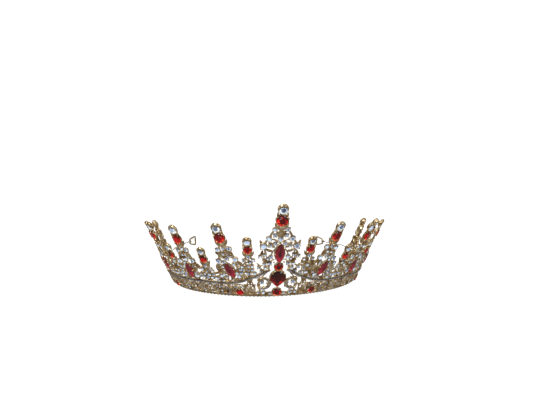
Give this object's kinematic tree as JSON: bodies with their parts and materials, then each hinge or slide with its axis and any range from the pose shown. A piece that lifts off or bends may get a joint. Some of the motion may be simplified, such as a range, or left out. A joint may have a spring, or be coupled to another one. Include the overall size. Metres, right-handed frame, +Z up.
{
  "type": "crown",
  "caption": "Open-backed tiara of gilt openwork spikes on a flat oval rail, set with red and clear glass stones, with wire ends and ribbon loops.",
  "frame": {"origin": "middle of the head opening, in the plane of the base rail's underside and level with the opening's widest line", "axes": "+X to the wearer's left, which is the right of someone facing the crown; -Y out of the front; +Y out of the open back; +Z up"},
  "size_m": [0.1684, 0.1178, 0.0577],
  "materials": {
    "gilt": "polished pale champagne gold plate",
    "wire": "drawn wire, bright",
    "ruby_stone": "faceted, foil backed",
    "burgundy_stone": "faceted, foil backed",
    "dark_red_stone": "faceted, foil backed",
    "clear_stone": "faceted, foil backed",
    "smoke_stone": "small faceted stones, foil backed"
  },
  "bodies": {
    "band": {"base_rail": "gilt", "garland_left": "gilt", "garland_right": "gilt", "centre_spike": "gilt", "tall_spike_1_left": "gilt", "tall_spike_1_right": "gilt", "tall_spike_2_left": "gilt", "tall_spike_2_right": "gilt", "tall_spike_3_left": "gilt", "tall_spike_3_right": "gilt", "tall_spike_4_left": "gilt", "tall_spike_4_right": "gilt", "tall_spike_5_left": "gilt", "tall_spike_5_right": "gilt", "small_spike_1_left": "gilt", "small_spike_1_right": "gilt", "small_spike_2_left": "gilt", "small_spike_2_right": "gilt", "small_spike_3_left": "gilt", "small_spike_3_right": "gilt", "centre_scroll_left": "gilt", "centre_scroll_right": "gilt", "flank_scroll_left": "gilt", "flank_scroll_right": "gilt", "end_wire_left": "wire", "end_wire_right": "wire", "large_red_stones": "ruby_stone", "small_red_stones": "ruby_stone", "marquise_stones": "burgundy_stone", "pear_stone": "dark_red_stone", "collar_stone": "ruby_stone", "base_red_stones": "ruby_stone", "tip_stones": "clear_stone", "clear_stones_centre": "clear_stone", "clear_stones_left": "clear_stone", "clear_stones_right": "clear_stone", "pave_stones_left": "smoke_stone", "pave_stones_right": "smoke_stone"},
    "loop_left": {"ribbon_loop_left": "gilt"},
    "loop_right": {"ribbon_loop_right": "gilt"}
  },
  "joints": [
    {"name": "loop_left_turn", "type": "hinge", "parent": "band", "child": "loop_left", "pos_m": [-0.0572, 0.032, 0.023], "axis": [0, 0, 1], "range_deg": [-100, 100]},
    {"name": "loop_right_turn", "type": "hinge", "parent": "band", "child": "loop_right", "pos_m": [0.0546, 0.0362, 0.0204], "axis": [0, 0, 1], "range_deg": [-100, 100]}
  ]
}
